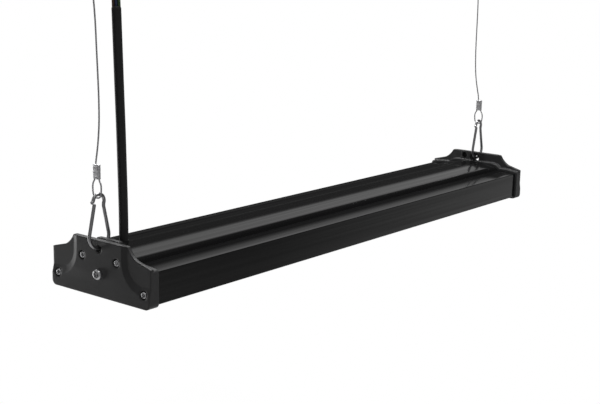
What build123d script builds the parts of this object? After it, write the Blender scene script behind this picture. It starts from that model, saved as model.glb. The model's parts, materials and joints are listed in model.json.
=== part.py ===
from build123d import *
import os
from math import acos, atan2, cos, degrees, pi, radians, sin, sqrt, tan

# Linear high bay light: extruded housing, two hooked end caps, wire hooks, suspension ropes and a supply cable.
# Millimetres. X runs along the housing, Y across it, Z up. The origin is midway between the two hook holes,
# on the line through the hook wires, so that the light hangs from it.
os.makedirs("parts", exist_ok=True)

# Overall size
fixture_length = 620.0
hook_drop = 6.8

# End caps: heights are measured up from the cap's bottom edge, depths in from its outer face, and the hat's
# rise, the hook's drop, the rim's cover and the boss follow the housing's crown
cap_overhang = 2.5
cap_thickness = 11.0
hat_rise = 10.0
cap_corner_radius = 4.5
ledge_outer_height = 34.0
ledge_inner_height = 38.3
ledge_inner_offset = 44.0
hat_top_offset = 33.0
flank_sag = 1.3
hat_corner_radius = 2.0
hat_wall = 5.0
rim_cover = 0.5
bell_bend_height = 36.0
bell_edge_offset = 27.5
bell_edge_bend = 25.0
bell_foot_offset = 32.9
bell_foot_bend = 18.0
bell_step = 1.8
cap_face = 3.6
pocket_inset = 9.5
pocket_bottom = 8.0
pocket_top = 28.5
throat_half_width = 17.6
throat_top = 34.0

# Boss on the back of the hat, with the hook recess and the cable entry
boss_outer_offset = 19.5
boss_inner_offset = 7.5
boss_root = 3.0
boss_cover = 2.0
boss_depth = 9.0
boss_corner_radius = 1.5
hook_recess_radius = 6.6
entry_offset = 14.5
entry_rise = 5.5
entry_radius = 3.5
passage_depth = 6.0
passage_radius = 2.9

# Housing extrusion
housing_width = 115.0
housing_drop = 2.3
housing_corner_height = 30.3
housing_top_height = 39.0
crown_offset = 10.0
ridge_offset = 30.0
ridge_height = 36.0
valley_offset = 34.5
valley_height = 31.8
shoulder_height = 31.42
crown_blend = 0.45
ridge_blend = 0.5
valley_blend = 0.08
edge_radius = 0.6
housing_wall = 2.2
web_bottom = 14.5
web_thickness = 2.5
lip_reach = 5.5
lip_thickness = 2.0
guide_reach = 4.3
guide_thickness = 1.2
port_radius = 3.4

# Gaskets between the caps and the housing
gasket_thickness = 1.0
gasket_inset = 0.4

# Cap screws, heads sunk in the cap face
upper_screw_offset = 21.0
upper_screw_depth = 4.35
lower_screw_inset = 4.8
lower_screw_height = 11.8
cap_screw_radius = 1.5
cap_screw_reach = 9.0
cap_screw_head_radius = 3.0
cap_screw_head_height = 2.3
cap_screw_sink_radius = 4.0
cap_screw_sink_depth = 2.4
screw_recess_arm = 1.0
screw_recess_depth = 1.0
screw_crown_share = 0.6
screw_slot_share = 0.5

# Bracket screw at the middle of each cap
bracket_screw_height = 20.0
bracket_screw_radius = 3.0
bracket_screw_reach = 8.0
bracket_head_radius = 4.8
bracket_head_height = 4.0
bracket_recess_arm = 1.8
bracket_recess_depth = 1.8
bracket_boss_radius = 6.5

# Fits
fit_clearance = 0.05
slide_clearance = 0.15
running_gap = 0.3

# Optical side: boards, emitters and diffuser
board_thickness = 1.6
board_side_gap = 9.8
board_middle_gap = 5.0
board_end_gap = 8.0
emitter_size = 3.0
emitter_height = 0.7
emitter_rows = 2
emitter_row_pitch = 22.0
emitters_per_row = 24
board_screw_inset = 20.0
board_screws_per_board = 4
board_screw_radius = 1.5
board_screw_head_radius = 2.8
board_screw_head_height = 1.8
board_screw_reach = 3.4
diffuser_thickness = 2.0
diffuser_edge_gap = 0.3

# Driver on the upper side of the web
driver_length = 240.0
driver_width = 56.0
driver_height = 11.0
driver_wall = 1.0
driver_center = 30.0
driver_tab = 12.0
driver_board_gap = 2.0
driver_board_inset = 2.0
driver_post_radius = 2.5
driver_post_inset = 8.0
coil_length = 26.0
coil_width = 22.0
coil_height = 4.8
coil_radius = 2.0
coil_center = -20.0
capacitor_radius = 2.4
capacitor_length = 18.0
capacitor_count = 3
capacitor_pitch = 14.0
capacitor_center = 60.0
driver_screw_radius = 1.5
driver_screw_head_radius = 2.8
driver_screw_head_height = 1.8
driver_screw_reach = 3.2

# Terminal block, its screws and the leads inside the housing
terminal_length = 16.0
terminal_width = 30.0
terminal_height = 9.0
terminal_ways = 3
terminal_pitch = 9.0
terminal_screw_radius = 1.9
terminal_screw_length = 3.0
terminal_inset = 55.0
lead_radius = 2.2
lead_drop_height = 23.0
lead_bend = 9.0
output_lead_radius = 1.2
output_lead_bend = 4.0
output_lead_height = 21.0

# Cable boot, blanking plug, cable and cores
boot_stub = 1.7
boot_radius = 4.3
boot_bend = 4.5
boot_collar = 0.3
boot_neck_depth = 1.0
plug_sink = 1.4
plug_length = 1.6
plug_dimple_radius = 2.4
plug_dimple_depth = 0.7
cable_diameter = 7.8
cable_sway = [
    (0.0, 0.0, 32.0),
    (-1.2, -0.3, 66.0),
    (-2.4, -0.7, 100.0),
    (-3.5, -0.5, 134.0),
    (-4.4, -0.3, 168.0),
    (-5.3, -0.1, 199.7),
]
core_diameter = 2.4
core_length = 24.0
core_pitch = 2.6
core_fan_angle = -51.5
tip_diameter = 1.3
tip_length = 7.0

# Wire hooks
hook_wire = 3.0
hook_hole_radius = 3.5
hook_shift = -1.5
hook_bottom_radius = 10.6
hook_neck_offset = 5.1
hook_neck_height = 36.0
hook_neck_radius = 6.0
hook_eye_radius = 5.9
hook_eye_center = 40.0
nose_angle = 165.0
nose_radius = 3.0
nose_turn = 45.0
tongue_gap = 1.2

# Suspension ropes, with a crimped loop at each end
rope_diameter = 1.5
ferrule_width = 6.8
ferrule_depth = 3.2
ferrule_height = 12.5
ferrule_corner = 0.8
ferrule_edge = 0.5
strand_offset = 2.3
strand_slant = 0.4
slant_height = 7.0
tail_height = 7.5
exit_offset = 0.8
exit_lead = 2.1
near_loop_shift = -1.5
far_loop_shift = -1.1
near_run = [(1.2, 86.5), (2.9, 103.0), (3.1, 122.0), (2.4, 143.0), (1.4, 164.5), (0.6, 187.5)]
near_crimp_shift = -0.5
far_run = [(-11.6, 86.0), (-17.2, 103.5), (-19.3, 123.5), (-19.9, 145.0), (-19.6, 166.5), (-19.9, 187.5)]
far_crimp_shift = -19.7
upper_crimp = 210.0
loop_base_half_width = 3.6
loop_half_width = 5.2
loop_belly = 5.0
loop_shoulder = 12.0
loop_neck = 3.2
neck_lead = 0.6

# Derived sizes
half_length = fixture_length / 2
half_housing = housing_width / 2
cap_width = housing_width + 2 * cap_overhang
half_cap = cap_width / 2
cap_height = housing_top_height + hat_rise
hook_axis_height = cap_height - hook_drop
rim_top_height = housing_top_height + rim_cover
boss_foot_height = housing_top_height - boss_root
entry_height = housing_top_height + entry_rise
boss_height = entry_height + entry_radius + boss_cover
facet_fall = (housing_top_height - ridge_height) / (ridge_offset - crown_offset)
upper_screw_height = housing_top_height - facet_fall * (upper_screw_offset - crown_offset) - upper_screw_depth
board_width = half_housing - housing_wall - board_side_gap - board_middle_gap / 2
board_offset = (board_middle_gap + board_width) / 2
pocket_half_width = half_housing - pocket_inset
shoulder_offset = (valley_offset + half_housing) / 2
lip_half_opening = half_housing - lip_reach
guide_half_opening = half_housing - guide_reach
lower_screw_offset = half_housing - lower_screw_inset
housing_end_depth = cap_thickness + gasket_thickness
housing_length = fixture_length - 2 * housing_end_depth
web_top = web_bottom + web_thickness
groove_bottom = housing_drop + lip_thickness
groove_top = groove_bottom + diffuser_thickness + 2 * slide_clearance
cap_screw_spots = [
    (across * side, height)
    for across, height in ((upper_screw_offset, upper_screw_height), (lower_screw_offset, lower_screw_height))
    for side in (-1, 1)
]
hook_radius = hook_wire / 2
bearing_reach = hat_wall / 2 + abs(hook_shift)
bearing_rise = hook_bottom_radius - sqrt((hook_bottom_radius - hook_radius) ** 2 - bearing_reach**2)
hook_hole_height = hook_axis_height + bearing_rise + running_gap - hook_hole_radius
near, far = -1, 1


def up(height):
    return height - hook_axis_height


def end_plane(end, depth=0.0):
    # Local x runs across the cap, local y up from its bottom edge, local z inwards.
    origin = (end * (half_length - depth), 0, up(0))
    return Plane(origin=origin, x_dir=(0, -end, 0), z_dir=(-end, 0, 0))


def web_plane(height):
    return Plane.XY.offset(up(height))


def save(solid, name):
    solid.label = name
    export_step(solid, f"parts/{name}.step")


def route(points, fullest=0.45):
    # Straight runs joined by tangent arcs, each as large as the shorter of its two runs allows.
    corners = [Vector(*p) for p in points]
    radii = []
    for before, corner, after in zip(corners, corners[1:], corners[2:]):
        turn = radians((corner - before).get_angle(after - corner))
        radii.append(fullest * min((corner - before).length, (after - corner).length) / tan(turn / 2))
    return corners, radii


def print_cord(name, cord, path, diameter, radii):
    share = cord.volume / (pi * diameter**2 / 4 * path.length)
    print(f"{name}: length {path.length:.1f}, volume share {share:.4f}, radii {[round(r, 1) for r in radii]}")


# Housing extrusion
top_corners = [
    Vector(0, housing_top_height),
    Vector(crown_offset, housing_top_height),
    Vector(ridge_offset, ridge_height),
    Vector(valley_offset, valley_height),
    Vector(shoulder_offset, shoulder_height),
]
flank_length = (top_corners[3] - top_corners[2]).length


def blend_radius(before, corner, after, reach):
    # Radius of the arc that meets both lines at the given reach from their corner.
    turn = radians((corner - before).get_angle(after - corner))
    return reach / tan(turn / 2)


crown_radius = blend_radius(*top_corners[0:3], crown_blend * crown_offset)
ridge_radius = blend_radius(*top_corners[1:4], ridge_blend * flank_length)
valley_radius = blend_radius(*top_corners[2:5], valley_blend * flank_length)


def housing_outline():
    # Flat crown, sloping facets, soft ridges and valleys, and convex shoulders over straight side walls.
    with BuildSketch() as outline:
        with BuildLine():
            Polyline(
                (0, housing_top_height),
                (crown_offset, housing_top_height),
                (ridge_offset, ridge_height),
                (valley_offset, valley_height),
            )
            ThreePointArc(
                (valley_offset, valley_height),
                (shoulder_offset, shoulder_height),
                (half_housing, housing_corner_height),
            )
            Polyline((half_housing, housing_corner_height), (half_housing, housing_drop), (0, housing_drop))
            mirror(about=Plane.YZ)
        make_face()
        for corner_offset, corner_radius in (
            (crown_offset, crown_radius),
            (ridge_offset, ridge_radius),
            (valley_offset, valley_radius),
            (half_housing, edge_radius),
        ):
            at_corner = [v for v in outline.vertices() if abs(abs(v.X) - corner_offset) < fit_clearance]
            fillet(at_corner, corner_radius)
    return outline.sketch


def driver_room():
    # Hollow over the web, following the outline at the wall's thickness.
    with BuildSketch() as room:
        add(housing_outline())
        offset(amount=-housing_wall, mode=Mode.REPLACE)
        with Locations((0, web_top)):
            Rectangle(housing_width, cap_height, align=(Align.CENTER, Align.MIN), mode=Mode.INTERSECT)
    return room.sketch


def lamp_room():
    # Hollow under the web, open below, with the diffuser's groove between the lips and the guides.
    room_width = housing_width - 2 * housing_wall
    with BuildSketch() as room:
        for width, floor, ceiling in (
            (2 * lip_half_opening, housing_drop, groove_bottom),
            (room_width, groove_bottom, groove_top),
            (2 * guide_half_opening, groove_top, groove_top + guide_thickness),
            (room_width, groove_top + guide_thickness, web_bottom),
        ):
            with Locations((0, floor)):
                Rectangle(width, ceiling - floor, align=(Align.CENTER, Align.MIN))
    return room.sketch


board_length = housing_length - 2 * board_end_gap
emitter_pitch = board_length / emitters_per_row
board_screw_pitch = (board_length - 2 * board_screw_inset) / (board_screws_per_board - 1)
board_spots = [
    (board_screw_pitch * (i - (board_screws_per_board - 1) / 2), side * board_offset)
    for side in (-1, 1)
    for i in range(board_screws_per_board)
]
driver_hole_spots = [
    (driver_center + side * (driver_length + driver_tab) / 2, 0.0) for side in (-1, 1)
]
output_lead_spot = (driver_center + driver_length / 2 + 2 * driver_tab, 0.0)

with BuildPart() as housing:
    with BuildSketch(end_plane(near, housing_end_depth)):
        add(housing_outline())
        add(driver_room(), mode=Mode.SUBTRACT)
        add(lamp_room(), mode=Mode.SUBTRACT)
        with Locations(*cap_screw_spots):
            Circle(port_radius)
        add(housing_outline(), mode=Mode.INTERSECT)
        with Locations(*cap_screw_spots):
            Circle(cap_screw_radius + fit_clearance, mode=Mode.SUBTRACT)
    extrude(amount=housing_length)
    with BuildSketch(web_plane(web_bottom)):
        with Locations(*board_spots):
            Circle(board_screw_radius + fit_clearance)
        with Locations(*driver_hole_spots):
            Circle(driver_screw_radius + fit_clearance)
        with Locations(output_lead_spot):
            Circle(output_lead_radius + running_gap)
    extrude(amount=web_thickness, mode=Mode.SUBTRACT)
save(housing.part, "housing")


# End caps, one turned half round to make the other
def cap_outline():
    # Outline of the cap: side walls, sloping ledges, concave flanks and the flat-topped hat.
    with BuildSketch() as outline:
        flank_rise = Vector(hat_top_offset - ledge_inner_offset, cap_height - ledge_inner_height)
        flank_middle = Vector(ledge_inner_offset, ledge_inner_height) + flank_rise / 2
        inward = Vector(-flank_rise.Y, flank_rise.X).normalized() * flank_sag
        with BuildLine():
            Polyline(
                (0, 0), (half_cap, 0), (half_cap, ledge_outer_height), (ledge_inner_offset, ledge_inner_height)
            )
            ThreePointArc(
                (ledge_inner_offset, ledge_inner_height),
                flank_middle + inward,
                (hat_top_offset, cap_height),
            )
            Line((hat_top_offset, cap_height), (0, cap_height))
            mirror(about=Plane.YZ)
        make_face()
        fillet(outline.vertices().group_by(Axis.Y)[0], cap_corner_radius)
        fillet(outline.vertices().group_by(Axis.Y)[-1], hat_corner_radius)
    return outline.sketch


def rim_outline():
    # Deeper part behind the plate: it follows the housing at the cap's overhang, and is cut flat under the hook.
    with BuildSketch() as outline:
        add(housing_outline())
        offset(amount=cap_overhang, mode=Mode.REPLACE)
        add(cap_outline(), mode=Mode.INTERSECT)
        Rectangle(cap_width, rim_top_height, align=(Align.CENTER, Align.MIN), mode=Mode.INTERSECT)
    return outline.sketch


def bell_outline(bell_offset, bend_radius):
    # Proud middle of the face, straight-sided above and flaring out to the full width below.
    with BuildSketch() as outline:
        skirt_height = bell_bend_height - bend_radius
        skirt_start = bell_offset + bend_radius
        with BuildLine():
            Polyline(
                (0, -cap_height), (cap_width, -cap_height), (cap_width, skirt_height), (skirt_start, skirt_height)
            )
            CenterArc((skirt_start, bell_bend_height), bend_radius, 270, -90)
            Polyline((bell_offset, bell_bend_height), (bell_offset, 2 * cap_height), (0, 2 * cap_height))
            mirror(about=Plane.YZ)
        make_face()
    return outline.sketch


def pocket_outline():
    # Hollow behind the cap face, open to the driver room, with a throat up to the cable passage.
    with BuildSketch() as outline:
        with Locations((0, pocket_bottom)):
            Rectangle(2 * pocket_half_width, pocket_top - pocket_bottom, align=(Align.CENTER, Align.MIN))
        with Locations((0, pocket_top)):
            Rectangle(2 * throat_half_width, throat_top - pocket_top, align=(Align.CENTER, Align.MIN))
    return outline.sketch


def end_cap(end):
    with BuildPart() as cap:
        # Bell with a slope that widens towards its foot.
        with BuildSketch(end_plane(end, bell_step)):
            add(bell_outline(bell_foot_offset, bell_foot_bend))
        with BuildSketch(end_plane(end)):
            add(bell_outline(bell_edge_offset, bell_edge_bend))
        loft(ruled=True)
        with BuildSketch(end_plane(end)):
            add(cap_outline())
        extrude(amount=bell_step, mode=Mode.INTERSECT)
        with BuildSketch(end_plane(end, bell_step)):
            add(cap_outline())
        extrude(amount=hat_wall - bell_step)
        with BuildSketch(end_plane(end, hat_wall)):
            add(rim_outline())
        extrude(amount=cap_thickness - hat_wall)
        # Boss behind the hat, open round the hook wire.
        with BuildSketch(end_plane(end, hat_wall)) as boss:
            with Locations((-boss_outer_offset, boss_foot_height)):
                Rectangle(
                    boss_outer_offset + boss_inner_offset,
                    boss_height - boss_foot_height,
                    align=(Align.MIN, Align.MIN),
                )
            fillet(boss.vertices().group_by(Axis.Z)[-1], boss_corner_radius)
            with Locations((0, hook_axis_height)):
                Circle(hook_recess_radius, mode=Mode.SUBTRACT)
        extrude(amount=boss_depth - hat_wall)
        # Hollow behind the face, with the solid boss of the bracket screw left standing.
        with BuildSketch(end_plane(end, cap_face)):
            add(pocket_outline())
            with Locations((0, bracket_screw_height)):
                Circle(bracket_boss_radius, mode=Mode.SUBTRACT)
        extrude(amount=cap_thickness, mode=Mode.SUBTRACT)
        # Cable entry, and the passage that turns down into the hollow.
        with BuildSketch(end_plane(end, passage_depth)):
            with Locations((-entry_offset, entry_height)):
                Circle(entry_radius)
        extrude(amount=boss_depth - passage_depth, mode=Mode.SUBTRACT)
        passage = Plane(
            origin=(end * (half_length - passage_depth), end * entry_offset, up(entry_height)), z_dir=(0, 0, -1)
        )
        with BuildSketch(passage):
            Circle(passage_radius)
        extrude(amount=entry_height - throat_top + passage_radius, mode=Mode.SUBTRACT)
        # Hook hole, bracket screw hole and cap screw holes.
        with BuildSketch(end_plane(end)):
            with Locations((0, hook_hole_height)):
                Circle(hook_hole_radius)
            with Locations(*cap_screw_spots):
                Circle(cap_screw_radius + slide_clearance)
        extrude(amount=cap_thickness, mode=Mode.SUBTRACT)
        with BuildSketch(end_plane(end)):
            with Locations(*cap_screw_spots):
                Circle(cap_screw_sink_radius)
        extrude(amount=cap_screw_sink_depth, mode=Mode.SUBTRACT)
        with BuildSketch(end_plane(end)):
            with Locations((0, bracket_screw_height)):
                Circle(bracket_screw_radius + fit_clearance)
        extrude(amount=bracket_screw_reach + running_gap, mode=Mode.SUBTRACT)
    return cap.part


def cap_gasket(end):
    with BuildPart() as gasket:
        with BuildSketch(end_plane(end, cap_thickness)):
            add(housing_outline())
            offset(amount=-gasket_inset, mode=Mode.REPLACE)
            add(pocket_outline(), mode=Mode.SUBTRACT)
            with Locations(*cap_screw_spots):
                Circle(cap_screw_radius + slide_clearance, mode=Mode.SUBTRACT)
        extrude(amount=gasket_thickness)
    return gasket.part


def pan_screw(plane, head_radius, head_height, shank_radius, shank_length, arm, recess):
    # Domed head standing out of the plane, shank going in along its normal, cross recess in the crown.
    with BuildPart() as screw:
        with BuildSketch(plane):
            Circle(head_radius)
        extrude(amount=-head_height)
        crown = screw.edges().filter_by(GeomType.CIRCLE).sort_by(Axis(plane.origin, -plane.z_dir))[-1]
        fillet(crown, screw_crown_share * head_height)
        with BuildSketch(plane):
            Circle(shank_radius)
        extrude(amount=shank_length)
        with BuildSketch(plane.offset(-head_height)):
            Rectangle(2 * arm, screw_slot_share * arm)
            Rectangle(screw_slot_share * arm, 2 * arm)
        extrude(amount=recess, mode=Mode.SUBTRACT)
    return screw.part


for end, side in ((near, "near"), (far, "far")):
    save(end_cap(end), f"{side}_end_cap")
    save(cap_gasket(end), f"{side}_cap_gasket")
    with BuildPart() as cap_screws:
        seat = end_plane(end, cap_screw_sink_depth)
        for spot in cap_screw_spots:
            add(
                pan_screw(
                    Plane(seat.from_local_coords(Vector(*spot)), x_dir=seat.x_dir, z_dir=seat.z_dir),
                    cap_screw_head_radius,
                    cap_screw_head_height,
                    cap_screw_radius,
                    housing_end_depth - cap_screw_sink_depth + cap_screw_reach,
                    screw_recess_arm,
                    screw_recess_depth,
                )
            )
    save(cap_screws.part, f"{side}_cap_screws")
    face = end_plane(end)
    save(
        pan_screw(
            Plane(face.from_local_coords(Vector(0, bracket_screw_height)), x_dir=face.x_dir, z_dir=face.z_dir),
            bracket_head_radius,
            bracket_head_height,
            bracket_screw_radius,
            bracket_screw_reach,
            bracket_recess_arm,
            bracket_recess_depth,
        ),
        f"{side}_bracket_screw",
    )

# Boards and emitters under the web
board_bottom = web_bottom - board_thickness
for side, name in ((-1, "front"), (1, "back")):
    spots = [spot for spot in board_spots if spot[1] * side > 0]
    with BuildPart() as board:
        with BuildSketch(web_plane(board_bottom)):
            with Locations((0, side * board_offset)):
                Rectangle(board_length, board_width)
            with Locations(*spots):
                Circle(board_screw_radius + fit_clearance, mode=Mode.SUBTRACT)
        extrude(amount=board_thickness)
    save(board.part, f"{name}_led_board")
    with BuildPart() as emitters:
        with BuildSketch(web_plane(board_bottom)):
            with Locations((0, side * board_offset)):
                with GridLocations(emitter_pitch, emitter_row_pitch, emitters_per_row, emitter_rows):
                    Rectangle(emitter_size, emitter_size)
        extrude(amount=-emitter_height)
    save(emitters.part, f"{name}_leds")

with BuildPart() as board_screws:
    with BuildSketch(web_plane(board_bottom)):
        with Locations(*board_spots):
            Circle(board_screw_head_radius)
    extrude(amount=-board_screw_head_height)
    with BuildSketch(web_plane(board_bottom)):
        with Locations(*board_spots):
            Circle(board_screw_radius)
    extrude(amount=board_screw_reach)
save(board_screws.part, "board_screws")

# Diffuser, sliding in the grooves over the lower lips
with BuildPart() as diffuser:
    with BuildSketch(web_plane(groove_bottom + slide_clearance)):
        Rectangle(housing_length, housing_width - 2 * (housing_wall + diffuser_edge_gap))
    extrude(amount=diffuser_thickness)
save(diffuser.part, "diffuser")

# Driver: tray with end tabs, circuit board on posts, parts on the board, and a cover over them
tray_floor = web_top + driver_wall
board_floor = tray_floor + driver_board_gap
board_face = board_floor + board_thickness
driver_board_length = driver_length - 2 * (driver_wall + driver_board_inset)
driver_board_width = driver_width - 2 * (driver_wall + driver_board_inset)
post_spacing = (driver_board_length - 2 * driver_post_inset, driver_board_width - 2 * driver_post_inset)
with BuildPart() as driver_tray:
    with BuildSketch(web_plane(web_top)):
        with Locations((driver_center, 0)):
            Rectangle(driver_length + 2 * driver_tab, driver_width)
        with Locations(*driver_hole_spots):
            Circle(driver_screw_radius + fit_clearance, mode=Mode.SUBTRACT)
    extrude(amount=driver_wall)
    with BuildSketch(web_plane(tray_floor)):
        with Locations((driver_center, 0)):
            with GridLocations(*post_spacing, 2, 2):
                Circle(driver_post_radius)
    extrude(amount=driver_board_gap)
save(driver_tray.part, "driver_tray")

with BuildPart() as driver_board:
    with BuildSketch(web_plane(board_floor)):
        with Locations((driver_center, 0)):
            Rectangle(driver_board_length, driver_board_width)
    extrude(amount=board_thickness)
save(driver_board.part, "driver_board")

with BuildPart() as driver_coil:
    with BuildSketch(web_plane(board_face)):
        with Locations((driver_center + coil_center, 0)):
            RectangleRounded(coil_length, coil_width, coil_radius)
    extrude(amount=coil_height)
save(driver_coil.part, "driver_transformer")

with BuildPart() as driver_capacitors:
    can_plane = Plane(
        origin=(driver_center + capacitor_center, -capacitor_length / 2, up(board_face + capacitor_radius)),
        x_dir=(1, 0, 0),
        z_dir=(0, 1, 0),
    )
    with BuildSketch(can_plane):
        with GridLocations(capacitor_pitch, 0, capacitor_count, 1):
            Circle(capacitor_radius)
    extrude(amount=capacitor_length)
save(driver_capacitors.part, "driver_capacitors")

with BuildPart() as driver_cover:
    with BuildSketch(web_plane(tray_floor)):
        with Locations((driver_center, 0)):
            Rectangle(driver_length, driver_width)
    extrude(amount=driver_height - driver_wall)
    with BuildSketch(web_plane(tray_floor)):
        with Locations((driver_center, 0)):
            Rectangle(driver_length - 2 * driver_wall, driver_width - 2 * driver_wall)
    extrude(amount=driver_height - 2 * driver_wall, mode=Mode.SUBTRACT)
save(driver_cover.part, "driver_cover")

with BuildPart() as driver_screws:
    with BuildSketch(web_plane(tray_floor)):
        with Locations(*driver_hole_spots):
            Circle(driver_screw_head_radius)
    extrude(amount=driver_screw_head_height)
    with BuildSketch(web_plane(tray_floor)):
        with Locations(*driver_hole_spots):
            Circle(driver_screw_radius)
    extrude(amount=-driver_screw_reach)
save(driver_screws.part, "driver_screws")

# Terminal block with its clamping screws
terminal_center = -half_length + terminal_inset
terminal_offset = -entry_offset + terminal_pitch
terminal_top = web_top + terminal_height
with BuildPart() as terminal_block:
    with BuildSketch(web_plane(web_top)):
        with Locations((terminal_center, terminal_offset)):
            Rectangle(terminal_length, terminal_width)
    extrude(amount=terminal_height)
    with BuildSketch(web_plane(terminal_top)):
        with Locations((terminal_center, terminal_offset)):
            with GridLocations(0, terminal_pitch, 1, terminal_ways):
                Circle(terminal_screw_radius + fit_clearance)
    extrude(amount=-terminal_screw_length - terminal_screw_radius, mode=Mode.SUBTRACT)
save(terminal_block.part, "terminal_block")

with BuildPart() as terminal_screws:
    with BuildSketch(web_plane(terminal_top - terminal_screw_length - terminal_screw_radius)):
        with Locations((terminal_center, terminal_offset)):
            with GridLocations(0, terminal_pitch, 1, terminal_ways):
                Circle(terminal_screw_radius)
    extrude(amount=terminal_screw_length)
save(terminal_screws.part, "terminal_screws")

# Cable boot: neck in the entry, and an elbow that turns the cable upwards off the boss
boss_face = -half_length + boss_depth
entry_axis = up(entry_height)
boot_start = boss_face + boot_stub
cable_x = boot_start + boot_bend
boot_top = entry_axis + boot_bend + boot_collar
with BuildPart() as cable_boot:
    with BuildSketch(end_plane(near, boss_depth - boot_neck_depth)):
        with Locations((-entry_offset, entry_height)):
            Circle(entry_radius - fit_clearance)
    extrude(amount=boot_neck_depth)
    with BuildSketch(end_plane(near, boss_depth)):
        with Locations((-entry_offset, entry_height)):
            Circle(boot_radius)
    extrude(amount=boot_stub)
    with BuildSketch(end_plane(near, boss_depth + boot_stub)):
        with Locations((-entry_offset, entry_height)):
            Circle(boot_radius)
    revolve(
        axis=Axis((boot_start, -entry_offset, entry_axis + boot_bend), (0, -1, 0)),
        revolution_arc=90,
    )
    with BuildSketch(Plane.XY.offset(entry_axis + boot_bend)):
        with Locations((cable_x, -entry_offset)):
            Circle(boot_radius)
    extrude(amount=boot_collar)
save(cable_boot.part, "cable_boot")

# Blanking plug in the unused entry of the far cap, sunk below the boss face
with BuildPart() as blank_plug:
    with BuildSketch(end_plane(far, boss_depth - plug_sink - plug_length)):
        with Locations((-entry_offset, entry_height)):
            Circle(entry_radius - fit_clearance)
    extrude(amount=plug_length)
    with BuildSketch(end_plane(far, boss_depth - plug_sink)):
        with Locations((-entry_offset, entry_height)):
            Circle(plug_dimple_radius)
    extrude(amount=-plug_dimple_depth, mode=Mode.SUBTRACT)
save(blank_plug.part, "far_blank_plug")

# Supply cable, rising beside the hat to its stripped cores
cable_points = [(cable_x, -entry_offset, boot_top)]
cable_points += [(cable_x + along, -entry_offset + across, height) for along, across, height in cable_sway]
cable_corners, cable_radii = route(cable_points)
with BuildPart() as power_cable:
    with BuildLine() as cable_path:
        FilletPolyline(*cable_corners, radius=cable_radii)
    with BuildSketch(Plane(cable_path.line @ 0, z_dir=cable_path.line % 0)):
        Circle(cable_diameter / 2)
    sweep()
save(power_cable.part, "power_cable")
print_cord("power_cable", power_cable.part, cable_path.wire(), cable_diameter, cable_radii)

sheath_end = Plane(
    cable_path.line @ 1,
    x_dir=Vector(cos(radians(core_fan_angle)), sin(radians(core_fan_angle)), 0),
    z_dir=cable_path.line % 1,
)
for place, name in ((-1, "brown_core"), (0, "blue_core"), (1, "earth_core")):
    with BuildPart() as core:
        with BuildSketch(sheath_end):
            with Locations((place * core_pitch, 0)):
                Circle(core_diameter / 2)
        extrude(amount=core_length)
    save(core.part, name)
with BuildPart() as core_tips:
    with BuildSketch(sheath_end.offset(core_length)):
        with GridLocations(core_pitch, 0, 3, 1):
            Circle(tip_diameter / 2)
    extrude(amount=tip_length)
save(core_tips.part, "core_tips")

# Supply lead inside: from the boot's neck, down the passage, and along to the terminal block
passage_x = -half_length + passage_depth
lead_points = [
    (passage_x, -entry_offset, up(entry_height)),
    (passage_x, -entry_offset, up(lead_drop_height)),
    (terminal_center - terminal_length / 2, -entry_offset, up(lead_drop_height)),
]
with BuildPart() as supply_lead:
    with BuildLine() as lead_path:
        FilletPolyline(*lead_points, radius=lead_bend)
    with BuildSketch(Plane(lead_path.line @ 0, z_dir=lead_path.line % 0)):
        Circle(lead_radius)
    sweep()
save(supply_lead.part, "supply_lead")

# Output lead: from the driver's end, through the web to the boards' side
output_x = output_lead_spot[0]
output_points = [
    (driver_center + driver_length / 2, 0, up(output_lead_height)),
    (output_x, 0, up(output_lead_height)),
    (output_x, 0, up(board_bottom)),
]
with BuildPart() as output_lead:
    with BuildLine() as output_path:
        FilletPolyline(*output_points, radius=output_lead_bend)
    with BuildSketch(Plane(output_path.line @ 0, z_dir=output_path.line % 0)):
        Circle(output_lead_radius)
    sweep()
save(output_lead.part, "output_lead")


# Wire hooks: a pear-shaped ring through the hook hole, with the eye's end latched over the tongue
def hook_center(end):
    return end * (half_length - hat_wall / 2) + hook_shift


def wire_hook(end):
    # Legs rise from the round bottom to a neck; the back leg goes on into the eye, which ends in a nose over the
    # tongue of the front leg.
    neck = Vector(hook_neck_offset, hook_neck_height)
    below = neck - Vector(0, hook_bottom_radius)
    above = neck - Vector(0, hook_eye_center)
    lean = degrees(atan2(below.Y, below.X) - acos(hook_bottom_radius / below.length))
    eye_start = degrees(atan2(above.Y, above.X) + acos(hook_eye_radius / above.length))
    nose = radians(nose_angle)
    with BuildPart() as hook:
        with BuildLine(Plane.XZ.move(Location((hook_center(end), 0, 0)))) as wire:
            bottom = CenterArc((0, hook_bottom_radius), hook_bottom_radius, 180 - lean, 180 + 2 * lean)
            eye = CenterArc((0, hook_eye_center), hook_eye_radius, eye_start, nose_angle - eye_start)
            foot = Vector(cos(radians(lean)), 1 + sin(radians(lean))) * hook_bottom_radius
            tip = neck + (neck - foot).normalized() * tongue_gap
            FilletPolyline(
                (foot.X, foot.Y),
                (neck.X, neck.Y),
                (
                    hook_eye_radius * cos(radians(eye_start)),
                    hook_eye_center + hook_eye_radius * sin(radians(eye_start)),
                ),
                radius=hook_neck_radius,
            )
            Line((-foot.X, foot.Y), (-tip.X, tip.Y))
            JernArc(
                (hook_eye_radius * cos(nose), hook_eye_center + hook_eye_radius * sin(nose)),
                (-sin(nose), cos(nose)),
                nose_radius,
                -nose_turn,
            )
        with BuildSketch(Plane(wire.wires()[0] @ 0, z_dir=wire.wires()[0] % 0)):
            Circle(hook_radius)
        sweep(path=wire.wires()[0])
    return hook.part


# Ropes: one wire each, looped through the hook's eye, crimped, rising to a second crimped loop
loop_room = hook_eye_radius - hook_radius - running_gap - rope_diameter / 2
loop_reach = max(abs(near_loop_shift), abs(far_loop_shift))
loop_base = hook_eye_center + sqrt(loop_room**2 - loop_reach**2)
lower_crimp = loop_base + loop_shoulder + loop_neck + neck_lead


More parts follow.
